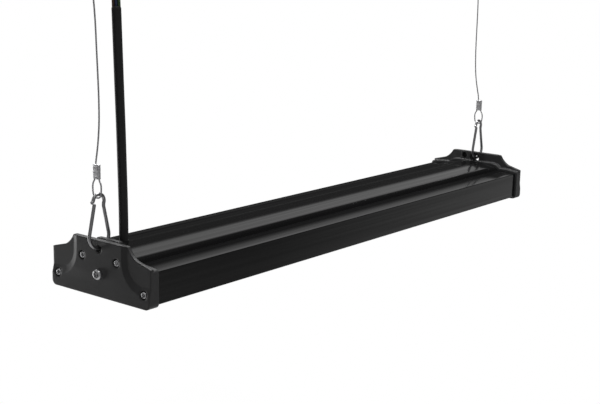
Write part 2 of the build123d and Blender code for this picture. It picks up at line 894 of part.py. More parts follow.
def loop_points(x, base, upward):
    # Half of a loop, from the crimp's mouth to the loop's base; upward is 1 where the crimp is over the base.
    return [
        (x, strand_offset, base + upward * (loop_shoulder + loop_neck)),
        (x, loop_half_width, base + upward * loop_shoulder),
        (x, loop_half_width, base + upward * loop_belly),
        (x, loop_base_half_width, base),
    ]


def mirrored(points):
    return [(x, -across, height) for x, across, height in points]


def rope_points(end, x, run, top_x):
    # From the tail in the lower crimp, round the loop, up to the upper crimp, and round its loop to the other tail.
    lower_loop = loop_points(x, loop_base, 1)
    upper_mouth = upper_crimp + ferrule_height
    upper_loop = loop_points(top_x, upper_mouth + neck_lead + loop_neck + loop_shoulder, -1)
    return (
        [(x, -strand_offset, lower_crimp + tail_height)]
        + mirrored(lower_loop)
        + lower_loop[::-1]
        + [
            (x, strand_offset - strand_slant, lower_crimp + slant_height),
            (x, exit_offset, lower_crimp + ferrule_height + exit_lead),
        ]
        + [(end * half_length + along, 0, height) for along, height in run]
        + [
            (top_x, exit_offset, upper_crimp - exit_lead),
            (top_x, strand_offset - strand_slant, upper_mouth - slant_height),
        ]
        + upper_loop
        + mirrored(upper_loop)[::-1]
        + [(top_x, -strand_offset, upper_mouth - tail_height)]
    )


def ferrule(x, bottom, rope):
    with BuildPart() as crimp:
        with BuildSketch(Plane.XY.offset(bottom)):
            with Locations((x, 0)):
                RectangleRounded(ferrule_depth, ferrule_width, ferrule_corner)
        extrude(amount=ferrule_height)
        fillet(crimp.edges().filter_by(Plane.XY), ferrule_edge)
        add(rope, mode=Mode.SUBTRACT)
    return crimp.part


for end, side, shift, run, crimp_shift in (
    (near, "near", near_loop_shift, near_run, near_crimp_shift),
    (far, "far", far_loop_shift, far_run, far_crimp_shift),
):
    save(wire_hook(end), f"{side}_hook")
    loop_x = hook_center(end) + shift
    top_x = end * half_length + crimp_shift
    corners, radii = route(rope_points(end, loop_x, run, top_x))
    with BuildPart() as rope:
        with BuildLine() as rope_path:
            FilletPolyline(*corners, radius=radii)
        with BuildSketch(Plane(rope_path.line @ 0, z_dir=rope_path.line % 0)):
            Circle(rope_diameter / 2)
        sweep()
    save(rope.part, f"{side}_rope")
    print_cord(f"{side}_rope", rope.part, rope_path.wire(), rope_diameter, radii)
    save(ferrule(loop_x, lower_crimp, rope.part), f"{side}_lower_ferrule")
    save(ferrule(top_x, upper_crimp, rope.part), f"{side}_upper_ferrule")
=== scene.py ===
import json
import math

import bmesh
import bpy
import numpy as np
from mathutils import Matrix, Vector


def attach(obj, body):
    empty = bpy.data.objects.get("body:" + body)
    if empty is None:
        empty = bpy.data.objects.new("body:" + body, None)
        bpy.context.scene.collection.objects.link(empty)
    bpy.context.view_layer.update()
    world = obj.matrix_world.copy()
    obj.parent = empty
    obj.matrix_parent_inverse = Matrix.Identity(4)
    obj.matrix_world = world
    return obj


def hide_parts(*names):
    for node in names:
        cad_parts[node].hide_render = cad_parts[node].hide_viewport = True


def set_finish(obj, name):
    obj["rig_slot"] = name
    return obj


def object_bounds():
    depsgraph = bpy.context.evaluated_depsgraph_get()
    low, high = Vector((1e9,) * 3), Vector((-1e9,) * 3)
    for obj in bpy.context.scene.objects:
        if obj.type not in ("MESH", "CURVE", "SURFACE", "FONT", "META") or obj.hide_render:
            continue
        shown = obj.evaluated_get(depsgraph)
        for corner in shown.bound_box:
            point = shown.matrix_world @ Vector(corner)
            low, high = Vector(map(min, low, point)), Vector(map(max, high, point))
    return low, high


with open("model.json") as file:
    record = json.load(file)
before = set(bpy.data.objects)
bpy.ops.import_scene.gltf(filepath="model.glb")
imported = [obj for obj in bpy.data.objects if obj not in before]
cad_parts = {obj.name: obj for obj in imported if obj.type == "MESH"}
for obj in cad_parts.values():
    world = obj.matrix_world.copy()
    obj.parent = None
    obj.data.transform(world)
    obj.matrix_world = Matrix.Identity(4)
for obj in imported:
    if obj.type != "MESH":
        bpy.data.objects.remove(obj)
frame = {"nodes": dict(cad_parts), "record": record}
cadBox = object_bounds()
nodes = frame["nodes"]
mm = 0.001

# camera, fitted to the photograph; its heights start at the caps' bottom edge
shot = {"azimuth": -51.47, "elevation": 12.13, "roll": 1.18, "focalPx": 1174.98, "imageWidth": 600,
        "offset": (-25.48, 32.88, 1223.95), "hookAxisHeight": 42.2, "sensor": 36.0, "clipStart": 0.01}


def placeCamera(s):
    # its axes from azimuth, elevation and roll, its eye from an offset along those axes
    az, el, roll = (math.radians(s[k]) for k in ("azimuth", "elevation", "roll"))
    back = np.array([math.sin(az) * math.cos(el), -math.cos(az) * math.cos(el), math.sin(el)])
    right = np.array([math.cos(az), math.sin(az), 0.0])
    up = np.cross(back, right)
    rightTurned = math.cos(roll) * right + math.sin(roll) * up
    upTurned = -math.sin(roll) * right + math.cos(roll) * up
    axes = np.array([rightTurned, upTurned, back])
    eye = axes.T @ np.array(s["offset"]) - np.array([0, 0, s["hookAxisHeight"]])
    pose = np.eye(4)
    pose[:3, :3] = axes.T
    pose[:3, 3] = eye * mm
    data = bpy.data.cameras.new("photoCamera")
    data.sensor_fit = "HORIZONTAL"
    data.sensor_width = s["sensor"]
    data.lens = s["focalPx"] * s["sensor"] / s["imageWidth"]
    data.clip_start = s["clipStart"]
    camera = bpy.data.objects.new("photoCamera", data)
    bpy.context.scene.collection.objects.link(camera)
    camera.matrix_world = Matrix(pose.tolist())
    bpy.context.scene.camera = camera


placeCamera(shot)
print("camera placed")


# mesh helpers
meshing = {"sharp": 50.0, "polePart": 0.002, "coneRoom": 1.2, "splineSteps": 12, "cornerSteps": 7}


def newPiece(name, verts, faces, body, slotName, sharp=meshing["sharp"]):
    # a mesh from points and faces, smooth up to an angle, on its body and with its finish
    mesh = bpy.data.meshes.new(name)
    mesh.from_pydata(np.asarray(verts).tolist(), [], faces)
    mesh.polygons.foreach_set("use_smooth", np.ones(len(mesh.polygons), bool))
    mesh.set_sharp_from_angle(angle=math.radians(sharp))
    obj = bpy.data.objects.new(name, mesh)
    bpy.context.scene.collection.objects.link(obj)
    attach(obj, body)
    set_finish(obj, slotName)
    return obj


def gridFaces(rows, cols):
    # quads of a grid of points whose columns close on themselves
    r, c = np.meshgrid(np.arange(rows - 1), np.arange(cols), indexing="ij")
    n = (c + 1) % cols
    return np.stack([r * cols + c, r * cols + n, (r + 1) * cols + n, (r + 1) * cols + c], -1).reshape(-1, 4)


def closedGrid(rows, cols):
    # the same grid with its first and last rings filled
    ring = np.arange(cols)
    return gridFaces(rows, cols).tolist() + [ring[::-1].tolist(), (ring + (rows - 1) * cols).tolist()]


def lineFrames(line, side):
    # along the line: its direction, and two directions square to it, the first also square to the given side
    t = np.gradient(line, axis=0)
    t /= np.linalg.norm(t, axis=1)[:, None]
    n = np.cross(t, side)
    n /= np.linalg.norm(n, axis=1)[:, None]
    return t, n, np.cross(t, n)


def tubeAlong(line, radius, sides, side=(0, 1, 0), dome=0, cone=None):
    # a circle carried along a line: centre plus radius times cosine and sine of the angle, on two directions
    # square to the line; a dome closes each end as a half ball: radius times cosine, along times sine; a cone
    # (run, depth) draws the last stretch in by depth over run
    if cone is not None:
        end, along = line[-1], (line[-1] - line[-2]) / np.linalg.norm(line[-1] - line[-2])
        before = line[(end - line) @ along > meshing["coneRoom"] * cone[0]]
        line = np.vstack([before, end - along * cone[0], end])
    t, n, b = lineFrames(line, side)
    r = np.full(len(line), radius)
    if cone is not None:
        r[-1] -= cone[1]
    if dome:
        a = np.linspace(0, math.pi / 2, dome + 1)[1:]
        head = line[:1] - t[:1] * (radius * np.sin(a))[::-1, None]
        tail = line[-1:] + t[-1:] * (radius * np.sin(a))[:, None]
        line = np.vstack([head, line, tail])
        shrink = radius * np.maximum(np.cos(a), meshing["polePart"])
        r = np.concatenate([shrink[::-1], r, shrink])
        n, b = (np.vstack([np.repeat(v[:1], dome, 0), v, np.repeat(v[-1:], dome, 0)]) for v in (n, b))
    ang = np.linspace(0, 2 * math.pi, sides, endpoint=False)[None, :, None]
    ring = np.cos(ang) * n[:, None] + np.sin(ang) * b[:, None]
    return (line[:, None] + ring * r[:, None, None]).reshape(-1, 3), closedGrid(len(line), sides)


def joined(pieces):
    # several sets of points and faces as one
    counts = np.cumsum([0] + [len(v) for v, _ in pieces])
    faces = [[i + int(first) for i in f] for first, (_, fs) in zip(counts, pieces) for f in fs]
    return np.vstack([v for v, _ in pieces]), faces


def routeLine(points):
    # the smooth line that a cord follows, read from a spline with the route's points as its controls
    curve = bpy.data.curves.new("routeLine", "CURVE")
    curve.dimensions = "3D"
    curve.resolution_u = meshing["splineSteps"]
    spline = curve.splines.new("NURBS")
    spline.points.add(len(points) - 1)
    flat = np.ones((len(points), 4))
    flat[:, :3] = points
    spline.points.foreach_set("co", flat.ravel())
    spline.order_u = 3
    spline.use_endpoint_u = True
    obj = bpy.data.objects.new("routeLine", curve)
    bpy.context.scene.collection.objects.link(obj)
    bpy.context.view_layer.update()
    mesh = bpy.data.meshes.new_from_object(obj)
    line = np.zeros(len(mesh.vertices) * 3)
    mesh.vertices.foreach_get("co", line)
    bpy.data.objects.remove(obj)
    bpy.data.curves.remove(curve)
    bpy.data.meshes.remove(mesh)
    return line.reshape(-1, 3)


def evenly(line, step):
    # the same line with its points evenly spaced, and its length
    reach = np.concatenate([[0], np.cumsum(np.linalg.norm(np.diff(line, axis=0), axis=1))])
    at = np.linspace(0, reach[-1], max(2, int(round(reach[-1] / step)) + 1))
    return np.stack([np.interp(at, reach, k) for k in line.T], -1), reach[-1]


def arcPoints(center, radius, fromDeg, sweepDeg, count):
    # centre plus radius times cosine and sine of evenly spaced angles
    a = np.radians(np.linspace(fromDeg, fromDeg + sweepDeg, count))
    return np.stack([center[0] + radius * np.cos(a), center[1] + radius * np.sin(a)], -1)


def roundedPath(points, radii, steps=meshing["cornerSteps"]):
    # a line of points with each corner replaced by a tangent arc
    out = [points[:1]]
    for a, b, c, r in zip(points, points[1:], points[2:], radii):
        d1, d2 = (b - a) / np.linalg.norm(b - a), (c - b) / np.linalg.norm(c - b)
        half = math.acos(np.clip(d1 @ d2, -1, 1)) / 2
        side = np.sign(d1[0] * d2[1] - d1[1] * d2[0])
        square = side * np.array([-d1[1], d1[0]])
        center = b - d1 * r * math.tan(half) + square * r
        begin = math.degrees(math.atan2(-square[1], -square[0]))
        out.append(arcPoints(center, r, begin, math.degrees(2 * half * side), steps))
    return np.vstack(out + [points[-1:]])


# ropes with their crimped loops
rope = {"diameter": 1.5, "lay": 10.0, "outerStrands": 6, "strandSides": 6, "step": 0.8, "touch": 0.985,
        "sharp": 80.0, "strand": 2.3, "slant": 0.4, "slantHeight": 7.0, "tailHeight": 7.5, "exitOffset": 0.8,
        "exitLead": 2.1, "crimpHeight": 12.5, "lowerCrimp": 58.7954, "upperCrimp": 210.0, "loopBase": 42.9954,
        "baseHalfWidth": 3.6, "halfWidth": 5.2, "belly": 5.0, "shoulder": 12.0, "neck": 3.2, "neckLead": 0.6,
        "near": {"loopX": -310.5, "crimpX": -310.5, "endX": -310.0,
                 "run": [(1.2, 86.5), (2.9, 103.0), (3.1, 122.0), (2.4, 143.0), (1.4, 164.5), (0.6, 187.5)]},
        "far": {"loopX": 304.9, "crimpX": 290.3, "endX": 310.0,
                "run": [(-11.6, 86.0), (-17.2, 103.5), (-19.3, 123.5), (-19.9, 145.0), (-19.6, 166.5),
                        (-19.9, 187.5)]}}


def loopPoints(x, base, upward):
    # one half of a loop, from the mouth of its crimp over shoulder and belly to its base
    s = rope
    return np.array([(x, s["strand"], base + upward * (s["shoulder"] + s["neck"])),
                     (x, s["halfWidth"], base + upward * s["shoulder"]),
                     (x, s["halfWidth"], base + upward * s["belly"]),
                     (x, s["baseHalfWidth"], base)])


def ropeRoute(side):
    # tail in the lower crimp, round the loop, up to the upper crimp, and round its loop to the other tail
    s, own = rope, rope[side]
    x, topX, mouth = own["loopX"], own["crimpX"], s["upperCrimp"] + s["crimpHeight"]
    lower = loopPoints(x, s["loopBase"], 1)
    upper = loopPoints(topX, mouth + s["neckLead"] + s["neck"] + s["shoulder"], -1)
    across = np.array([1, -1, 1])
    rise = [(x, s["strand"] - s["slant"], s["lowerCrimp"] + s["slantHeight"]),
            (x, s["exitOffset"], s["lowerCrimp"] + s["crimpHeight"] + s["exitLead"])]
    rise += [(own["endX"] + along, 0, height) for along, height in own["run"]]
    rise += [(topX, s["exitOffset"], s["upperCrimp"] - s["exitLead"]),
             (topX, s["strand"] - s["slant"], mouth - s["slantHeight"])]
    return np.vstack([[(x, -s["strand"], s["lowerCrimp"] + s["tailHeight"])], lower * across, lower[::-1], rise,
                      upper, (upper * across)[::-1], [(topX, -s["strand"], mouth - s["tailHeight"])]]) * mm


def strandedRope(side):
    # six strands wound round a middle one: each is a circle carried along a helix about the rope's line
    line, length = evenly(routeLine(ropeRoute(side)), rope["step"] * mm)
    t, n, b = lineFrames(line, (1, 0, 0))
    radius = rope["diameter"] * mm / 6  # three strands lie side by side across the rope
    turn = 2 * math.pi * np.linspace(0, length, len(line)) / (rope["lay"] * mm)
    ang = np.linspace(0, 2 * math.pi, rope["strandSides"], endpoint=False)[None, :, None]
    ring = radius * (np.cos(ang) * n[:, None] + np.sin(ang) * b[:, None])
    pieces = [((line[:, None] + ring).reshape(-1, 3), closedGrid(len(line), rope["strandSides"]))]
    for k in range(rope["outerStrands"]):
        a = (turn + 2 * math.pi * k / rope["outerStrands"])[:, None]
        center = line + 2 * radius * rope["touch"] * (np.cos(a) * n + np.sin(a) * b)
        pieces.append(((center[:, None] + ring).reshape(-1, 3), closedGrid(len(line), rope["strandSides"])))
    obj = newPiece(f"{side}RopeStrands", *joined(pieces), f"{side}_rope", "rope_steel", rope["sharp"])
    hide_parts(f"{side}_rope")
    return obj, line, length


ferrule = {"halfWidth": 3.4, "halfDepth": 1.6, "square": 0.28, "edge": 0.5, "press": 0.12, "bands": 3,
           "rows": 48, "cols": 72, "sharp": 60.0}


def crimpedFerrule(side, which, x):
    # pressed sleeve: a squared ellipse, cosine and sine raised to a small power, that closes in at its ends by
    # a quarter circle and is pinched in bands where the sine of its height is positive
    f, height = ferrule, rope["crimpHeight"]
    z = np.linspace(0, 1, f["rows"])[:, None] * height
    ang = np.linspace(0, 2 * math.pi, f["cols"], endpoint=False)[None]
    cosine, sine = np.cos(ang), np.sin(ang)
    end = np.clip(np.minimum(z, height - z) / f["edge"], 0, 1)
    inset = f["edge"] * (1 - np.sqrt(1 - (1 - end) ** 2))
    pinch = f["press"] * np.clip(np.sin(z / height * 2 * math.pi * f["bands"] - math.pi / 2), 0, 1)
    gx = (f["halfDepth"] - inset - pinch) * np.sign(cosine) * np.abs(cosine) ** f["square"]
    gy = (f["halfWidth"] - inset) * np.sign(sine) * np.abs(sine) ** f["square"]
    gz = np.broadcast_to(rope[which.lower() + "Crimp"] + z, gx.shape)
    verts = np.stack([x + gx, gy, gz], -1).reshape(-1, 3) * mm
    faces = closedGrid(f["rows"], f["cols"])
    obj = newPiece(f"{side}{which}Ferrule", verts, faces, f"{side}_rope", "ferrule_metal", f["sharp"])
    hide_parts(f"{side}_{which.lower()}_ferrule")
    return obj


for side in ("near", "far"):
    strands, line, length = strandedRope(side)
    lower = crimpedFerrule(side, "Lower", rope[side]["loopX"])
    upper = crimpedFerrule(side, "Upper", rope[side]["crimpX"])
print("ropes laid")

# supply cable with its stripped cores
cable = {"diameter": 7.8, "axis": (-294.8, -14.5), "start": 7.1, "step": 1.5, "sides": 40,
         "sway": [(0.0, 0.0, 32.0), (-1.2, -0.3, 66.0), (-2.4, -0.7, 100.0), (-3.5, -0.5, 134.0),
                  (-4.4, -0.3, 168.0), (-5.3, -0.1, 199.7)],
         "endCone": (1.5, 0.9), "coreDiameter": 2.4, "coreLength": 24.0, "corePitch": 2.35, "coreFan": -51.5,
         "coreSpread": 0.2, "coreRoot": 1.0, "coreStations": 24, "coreSides": 20, "tipDiameter": 1.3,
         "tipLength": 7.0, "tipRoot": 0.5, "tipWires": 6, "tipTwist": 2.2, "tipStations": 14, "tipSides": 8,
         "tipSharp": 60.0,
         "cores": {"brown": "core_brown", "blue": "core_blue", "earth": "core_green"}}


def strippedTip(foot, lift, fan, c):
    # fine wires twisted round a middle one: each is a circle carried along a helix
    s = np.linspace(0, 1, c["tipStations"])[:, None]
    line = foot + lift * (c["tipLength"] + c["tipRoot"]) * mm * s
    radius = c["tipDiameter"] / 6 * mm
    across = np.cross(lift, fan)
    pieces = [tubeAlong(line, radius, c["tipSides"])]
    for k in range(c["tipWires"]):
        a = c["tipTwist"] * s + 2 * math.pi * k / c["tipWires"]
        helix = line + 2 * radius * (np.cos(a) * fan + np.sin(a) * across)
        pieces.append(tubeAlong(helix, radius, c["tipSides"]))
    return pieces


def sheathedCable(c):
    # a circle carried along the route, and three more along lines that start side by side at its end
    x, y = c["axis"]
    points = [(x, y, c["start"])] + [(x + along, y + across, height) for along, across, height in c["sway"]]
    line, length = evenly(routeLine(np.array(points) * mm), c["step"] * mm)
    outside = tubeAlong(line, c["diameter"] / 2 * mm, c["sides"], cone=np.array(c["endCone"]) * mm)
    sheath = newPiece("supplyCable", *outside, "housing", "cable_black")
    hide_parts("power_cable")
    lift = (line[-1] - line[-2]) / np.linalg.norm(line[-1] - line[-2])
    fan = np.array([math.cos(math.radians(c["coreFan"])), math.sin(math.radians(c["coreFan"])), 0.0])
    s = np.linspace(0, 1, c["coreStations"])[:, None]
    pieces, tips = [], []
    for place, (name, slotName) in zip((-1, 0, 1), c["cores"].items()):
        foot = line[-1] + (fan * place * c["corePitch"] - lift * c["coreRoot"]) * mm
        bend = fan * place * c["coreSpread"] * mm * s**2  # outer cores lean out as the square of the height
        core = foot + lift * (c["coreLength"] + c["coreRoot"]) * mm * s + bend
        insulation = tubeAlong(core, c["coreDiameter"] / 2 * mm, c["coreSides"])
        piece = newPiece(f"{name}Core", *insulation, "housing", slotName)
        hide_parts(f"{name}_core")
        pieces.append(piece)
        tips += strippedTip(core[-1] - lift * c["tipRoot"] * mm, lift, fan, c)
    bare = newPiece("coreTips", *joined(tips), "housing", "tip_metal", c["tipSharp"])
    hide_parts("core_tips")


sheathedCable(cable)
print("cable laid")

# wire hooks
hook = {"wire": 3.0, "bottomRadius": 10.6, "neck": (5.1, 36.0), "neckRadius": 6.0, "eyeRadius": 5.9,
        "eyeCenter": 40.0, "noseAngle": 165.0, "noseRadius": 3.0, "noseTurn": 45.0, "tongueGap": 1.2,
        "points": {"bottom": 60, "neck": 12, "eye": 48, "nose": 10}, "step": 0.6, "sides": 28, "dome": 5,
        "sharp": 60.0, "near": -309.0, "far": 306.0}


def hookLine(h):
    # tongue, front leg, round bottom, back leg, neck, eye and nose, as one line in the hook's own plane
    neck, low, high = (np.array(p) for p in (h["neck"], (0, h["bottomRadius"]), (0, h["eyeCenter"])))
    below, above = neck - low, neck - high
    lean = math.atan2(below[1], below[0]) - math.acos(h["bottomRadius"] / np.linalg.norm(below))
    rise = math.atan2(above[1], above[0]) + math.acos(h["eyeRadius"] / np.linalg.norm(above))
    nose = math.radians(h["noseAngle"])
    foot = low + h["bottomRadius"] * np.array([math.cos(lean), math.sin(lean)])
    eyeFoot = high + h["eyeRadius"] * np.array([math.cos(rise), math.sin(rise)])
    tip = neck + (neck - foot) / np.linalg.norm(neck - foot) * h["tongueGap"]
    leanDeg, riseDeg, count = math.degrees(lean), math.degrees(rise), h["points"]
    bottom = arcPoints(low, h["bottomRadius"], 180 - leanDeg, 180 + 2 * leanDeg, count["bottom"])
    back = roundedPath(np.array([foot, neck, eyeFoot]), [h["neckRadius"]], count["neck"])
    eye = arcPoints(high, h["eyeRadius"], riseDeg, h["noseAngle"] - riseDeg, count["eye"])
    outward = np.array([math.cos(nose), math.sin(nose)])
    curl = arcPoints(high + outward * (h["eyeRadius"] + h["noseRadius"]), h["noseRadius"],
                     h["noseAngle"] - 180, -h["noseTurn"], count["nose"])
    flat = np.vstack([[tip * [-1, 1]], bottom, back[1:], eye[1:], curl[1:]])
    return np.stack([flat[:, 0], np.zeros(len(flat)), flat[:, 1]], -1)


for side in ("near", "far"):
    bent = evenly(hookLine(hook) * mm, hook["step"] * mm)[0] + [hook[side] * mm, 0, 0]
    verts, faces = tubeAlong(bent, hook["wire"] / 2 * mm, hook["sides"], dome=hook["dome"])
    wire = newPiece(f"{side}WireHook", verts, faces, f"{side}_hook", "hook_steel", hook["sharp"])
    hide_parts(f"{side}_hook")
print("hooks bent")

# outer skin of the housing, a hair over the extrusion
skin = {"halfLength": 298.0, "halfWidth": 57.5, "drop": 2.3, "cornerHeight": 30.3, "topHeight": 39.0,
        "crown": 10.0, "ridge": (30.0, 36.0), "valley": (34.5, 31.8), "shoulder": (46.0, 31.42), "lip": 52.0,
        "radii": {"bottom": 0.6, "corner": 0.6, "valley": 1.312, "ridge": 9.912, "crown": 60.34},
        "points": {"shoulder": 40, "valley": 16, "top": 16}, "leastStep": 0.02, "proud": 0.05, "thickness": 0.5,
        "stations": 60, "sharp": 35.0}


def circleThrough(a, b, c):
    # centre and radius of the circle through three points
    center = np.linalg.solve(np.array([b - a, c - a]), np.array([b @ b - a @ a, c @ c - a @ a]) / 2)
    return center, np.linalg.norm(a - center)


def arcBetween(center, radius, begin, end, count):
    # the shorter arc of a circle from one of its points to another
    turn = np.degrees(np.unwrap([math.atan2(*(p - center)[::-1]) for p in (begin, end)]))
    return arcPoints(center, radius, turn[0], turn[1] - turn[0], count)


def topOutline(s):
    # half the outline from lip to crown: side wall, shoulder, valley, flank, ridge, facet and crown
    r, count = s["radii"], s["points"]
    lip, foot = np.array([s["lip"], s["drop"]]), np.array([s["halfWidth"], s["drop"]])
    corner = np.array([s["halfWidth"], s["cornerHeight"]])
    valley, ridge = np.array(s["valley"]), np.array(s["ridge"])
    crown, middle = np.array([s["crown"], s["topHeight"]]), np.array([0, s["topHeight"]])
    center, radius = circleThrough(corner, np.array(s["shoulder"]), valley)
    down = (valley - ridge) / np.linalg.norm(valley - ridge)
    start = valley + r["valley"] * np.array([-down[1], down[0]]) - center
    reach = start @ down + math.sqrt((start @ down) ** 2 - start @ start + (radius + r["valley"]) ** 2)
    hollow = center + start - down * reach  # its circle touches the flank and, from outside, the shoulder
    onShoulder = center + (hollow - center) * radius / (radius + r["valley"])
    onFlank = valley - down * reach
    shoulder = arcBetween(center, radius, corner, onShoulder, count["shoulder"])
    wall = roundedPath(np.array([lip, foot, corner, shoulder[2]]), [r["bottom"], r["corner"]])
    bowl = arcBetween(hollow, r["valley"], onShoulder, onFlank, count["valley"])
    top = roundedPath(np.array([onFlank, ridge, crown, middle]), [r["ridge"], r["crown"]], count["top"])
    return np.vstack([wall, shoulder[3:-1], bowl, top[1:]])


def housingSkin(s):
    # the outline mirrored, thickened to a thin shell and drawn along the length
    half = topOutline(s)
    outline = np.vstack([half, (half * [-1, 1])[-2::-1]])
    outline = outline[np.append(True, np.linalg.norm(np.diff(outline, axis=0), axis=1) > s["leastStep"])]
    t = np.gradient(outline, axis=0)
    out = np.stack([t[:, 1], -t[:, 0]], -1) / np.linalg.norm(t, axis=1)[:, None]
    ring = np.vstack([outline + out * s["proud"], (outline - out * (s["thickness"] - s["proud"]))[::-1]])
    x = np.linspace(-s["halfLength"], s["halfLength"], s["stations"])[:, None]
    y, z = ring[:, 0][None], ring[:, 1][None] - shot["hookAxisHeight"]
    verts = np.stack(np.broadcast_arrays(x, y, z), -1).reshape(-1, 3) * mm
    i, last = np.arange(len(outline) - 1), len(ring) - 1
    strip = np.stack([i, i + 1, last - 1 - i, last - i], -1)
    faces = np.vstack([gridFaces(len(x), len(ring)), strip[:, ::-1], strip + (len(x) - 1) * len(ring)]).tolist()
    obj = newPiece("housingSkin", verts, faces, "housing", "housing_black", s["sharp"])
    bm = bmesh.new()
    bm.from_mesh(obj.data)
    bmesh.ops.recalc_face_normals(bm, faces=bm.faces)
    bm.to_mesh(obj.data)
    bm.free()


housingSkin(skin)
print("housing skinned")


# moulded and turned pieces: the solids again, with their sharp edges softened
softEdges = {"merge": 2e-6, "flat": 0.6,
             # name, finish, width, steps and angle of each
             "kinds": {"end_cap": ("CapMoulding", "cap_black", 0.7, 3, 15.0),
                       "cap_screws": ("CapScrews", "screw_steel", 0.12, 2, 32.0),
                       "bracket_screw": ("BracketScrew", "screw_steel", 0.2, 2, 32.0)}}


def softened(node, name, slotName, width, segments, angle):
    # a merged copy of the solid's mesh, its flat faces joined, with a narrow bevel on its edges
    bm = bmesh.new()
    bm.from_mesh(nodes[node].data)
    bmesh.ops.remove_doubles(bm, verts=bm.verts, dist=softEdges["merge"])
    bmesh.ops.dissolve_limit(bm, angle_limit=math.radians(softEdges["flat"]), verts=bm.verts, edges=bm.edges)
    mesh = bpy.data.meshes.new(name)
    bm.to_mesh(mesh)
    bm.free()
    mesh.polygons.foreach_set("use_smooth", np.ones(len(mesh.polygons), bool))
    mesh.set_sharp_from_angle(angle=math.radians(angle))
    obj = bpy.data.objects.new(name, mesh)
    bpy.context.scene.collection.objects.link(obj)
    bevel = obj.modifiers.new("softEdges", "BEVEL")
    bevel.width = width * mm
    bevel.segments = segments
    bevel.limit_method = "ANGLE"
    bevel.angle_limit = math.radians(angle)
    bevel.harden_normals = True
    bevel.use_clamp_overlap = True
    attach(obj, "housing")
    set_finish(obj, slotName)
    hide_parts(node)


for side in ("near", "far"):
    for kind, (label, slotName, width, segments, angle) in softEdges["kinds"].items():
        softened(f"{side}_{kind}", f"{side}{label}", slotName, width, segments, angle)
print("mouldings softened")


# shader groups shared by several finishes
def nodeGroup(name, inputs, outputs):
    group = bpy.data.node_groups.new(name, "ShaderNodeTree")
    for label, value in inputs.items():
        socket = group.interface.new_socket(label, in_out="INPUT", socket_type="NodeSocketFloat")
        socket.default_value = value
    for label in outputs:
        group.interface.new_socket(label, in_out="OUTPUT", socket_type="NodeSocketFloat")
    return group, group.nodes.new("NodeGroupInput"), group.nodes.new("NodeGroupOutput")


def surfaceGroup(name, stretch, fineScale, patchScale):
    # fine relief, stretched along the length where it is drawn, and slow patches
    group, given, result = nodeGroup(name, {"Fine": fineScale, "Patch": patchScale}, ["Height", "Patches"])
    coord = group.nodes.new("ShaderNodeTexCoord")
    along = group.nodes.new("ShaderNodeMapping")
    along.inputs["Scale"].default_value = (stretch, 1.0, 1.0)
    group.links.new(coord.outputs["Object"], along.inputs["Vector"])
    for source, scale, detail, target in ((along.outputs["Vector"], "Fine", 2.0, "Height"),
                                          (coord.outputs["Object"], "Patch", 3.0, "Patches")):
        noise = group.nodes.new("ShaderNodeTexNoise")
        noise.inputs["Detail"].default_value = detail
        group.links.new(source, noise.inputs["Vector"])
        group.links.new(given.outputs[scale], noise.inputs["Scale"])
        group.links.new(noise.outputs["Fac"], result.inputs[target])
    return group


groups = {"grain": surfaceGroup("mouldedGrain", 1.0, 2500.0, 40.0),
          "drawn": surfaceGroup("drawnLines", 0.006, 900.0, 14.0)}
shading = {"reliefDepth": 0.1, "edgeSamples": 8, "lineSpan": (0.3, 0.7), "blueTint": 1.02}


def valleyPaintedShade(tree, v):
    # how far the coat is kept, as painted shade: whole on the crown and the outer shoulders, less in the
    # valleys and rising across the shoulders, to darken their reflections
    coord, parts = tree.nodes.new("ShaderNodeTexCoord"), tree.nodes.new("ShaderNodeSeparateXYZ")
    across, most = tree.nodes.new("ShaderNodeMath"), tree.nodes.new("ShaderNodeMath")
    across.operation, most.operation = "ABSOLUTE", "MAXIMUM"
    tree.links.new(coord.outputs["Object"], parts.inputs["Vector"])
    tree.links.new(parts.outputs["Y"], across.inputs[0])
    for socket, span, ends in ((0, v["inner"], (1.0, v["kept"])), (1, v["outer"], (v["kept"], 1.0))):
        side = tree.nodes.new("ShaderNodeMapRange")
        side.interpolation_type = "SMOOTHSTEP"
        side.inputs["From Min"].default_value, side.inputs["From Max"].default_value = (at * mm for at in span)
        side.inputs["To Min"].default_value, side.inputs["To Max"].default_value = ends
        tree.links.new(across.outputs["Value"], side.inputs["Value"])
        tree.links.new(side.outputs["Result"], most.inputs[socket])
    return most.outputs["Value"]


